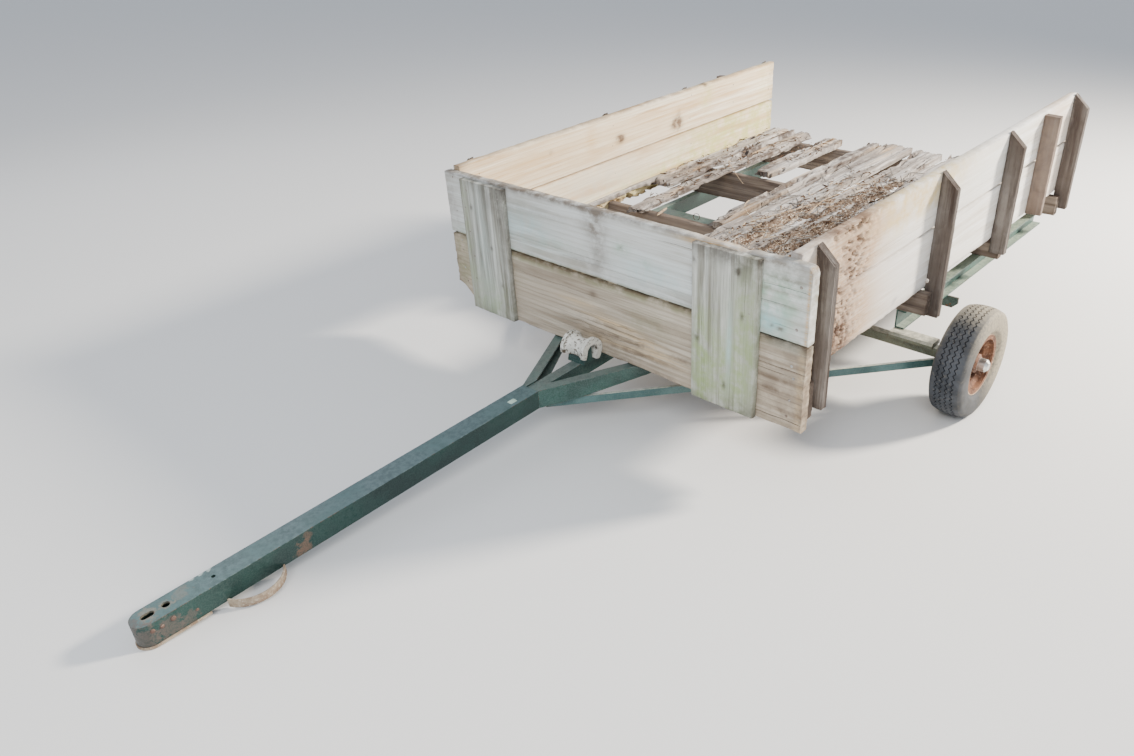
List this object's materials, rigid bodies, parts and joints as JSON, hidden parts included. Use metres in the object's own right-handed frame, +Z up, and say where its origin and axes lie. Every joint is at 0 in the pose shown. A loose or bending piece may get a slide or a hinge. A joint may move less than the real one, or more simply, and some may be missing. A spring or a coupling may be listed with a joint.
{
  "type": "two-wheeled farm utility trailer",
  "caption": "Low open utility trailer: weathered plank box on wooden sills and steel rails, two rubber tyres on a plain axle, long steel tongue that rests on its nose.",
  "frame": {"origin": "centre of the footprint's box on the floor the trailer stands on", "axes": "+X forward to the tongue's nose, +Y to the trailer's left, +Z up"},
  "size_m": [4.1254, 2.202, 0.9725],
  "materials": {
    "headboard_wood": "weathered grey softwood, bare",
    "side_wood": "weathered pale softwood, bare",
    "deck_wood": "silvered, rotten softwood",
    "sill_wood": "dark weathered softwood",
    "frame_paint": "old dark green paint, chipped, with rust",
    "bare_steel": "bare rusted strap",
    "cast_white": "old white paint on a casting, spotted",
    "rim_paint": "rusted red-brown",
    "hub_metal": "dull zinc cap",
    "tyre": "dusty worn rubber"
  },
  "bodies": {
    "chassis": {"headboard_lower": "headboard_wood", "headboard_upper": "headboard_wood", "headboard_cleat_right": "headboard_wood", "headboard_cleat_left": "headboard_wood", "sill_front": "sill_wood", "sill_second": "sill_wood", "sill_third": "sill_wood", "sill_rear": "sill_wood", "deck_plank_1": "deck_wood", "deck_plank_2": "deck_wood", "deck_plank_3": "deck_wood", "deck_plank_4": "deck_wood", "deck_plank_5": "deck_wood", "deck_plank_6": "deck_wood", "deck_plank_7": "deck_wood", "deck_plank_8": "deck_wood", "deck_plank_9": "deck_wood", "tongue": "frame_paint", "tongue_nose_lip": "frame_paint", "tongue_spine": "frame_paint", "tongue_strap": "bare_steel", "saddle": "cast_white", "saddle_post": "frame_paint", "frame_cross_channel": "frame_paint", "axle_bar": "frame_paint", "side_left_lower": "side_wood", "side_left_upper": "side_wood", "stakes_left": "sill_wood", "fork_arm_left": "frame_paint", "brace_left": "frame_paint", "rail_left": "frame_paint", "rail_hanger_left": "frame_paint", "axle_seat_left": "frame_paint", "spindle_left": "frame_paint", "side_right_lower": "side_wood", "side_right_upper": "side_wood", "stakes_right": "sill_wood", "fork_arm_right": "frame_paint", "brace_right": "frame_paint", "rail_right": "frame_paint", "rail_hanger_right": "frame_paint", "axle_seat_right": "frame_paint", "spindle_right": "frame_paint"},
    "wheel_left": {"tyre_left": "tyre", "rim_left": "rim_paint", "hub_left": "hub_metal"},
    "wheel_right": {"tyre_right": "tyre", "rim_right": "rim_paint", "hub_right": "hub_metal"}
  },
  "joints": [
    {"name": "wheel_left_spin", "type": "hinge", "parent": "chassis", "child": "wheel_left", "pos_m": [-0.61596, 1.028, 0.21], "axis": [0, 1, 0], "continuous": true},
    {"name": "wheel_right_spin", "type": "hinge", "parent": "chassis", "child": "wheel_right", "pos_m": [-0.61596, -1.028, 0.21], "axis": [0, 1, 0], "continuous": true}
  ]
}
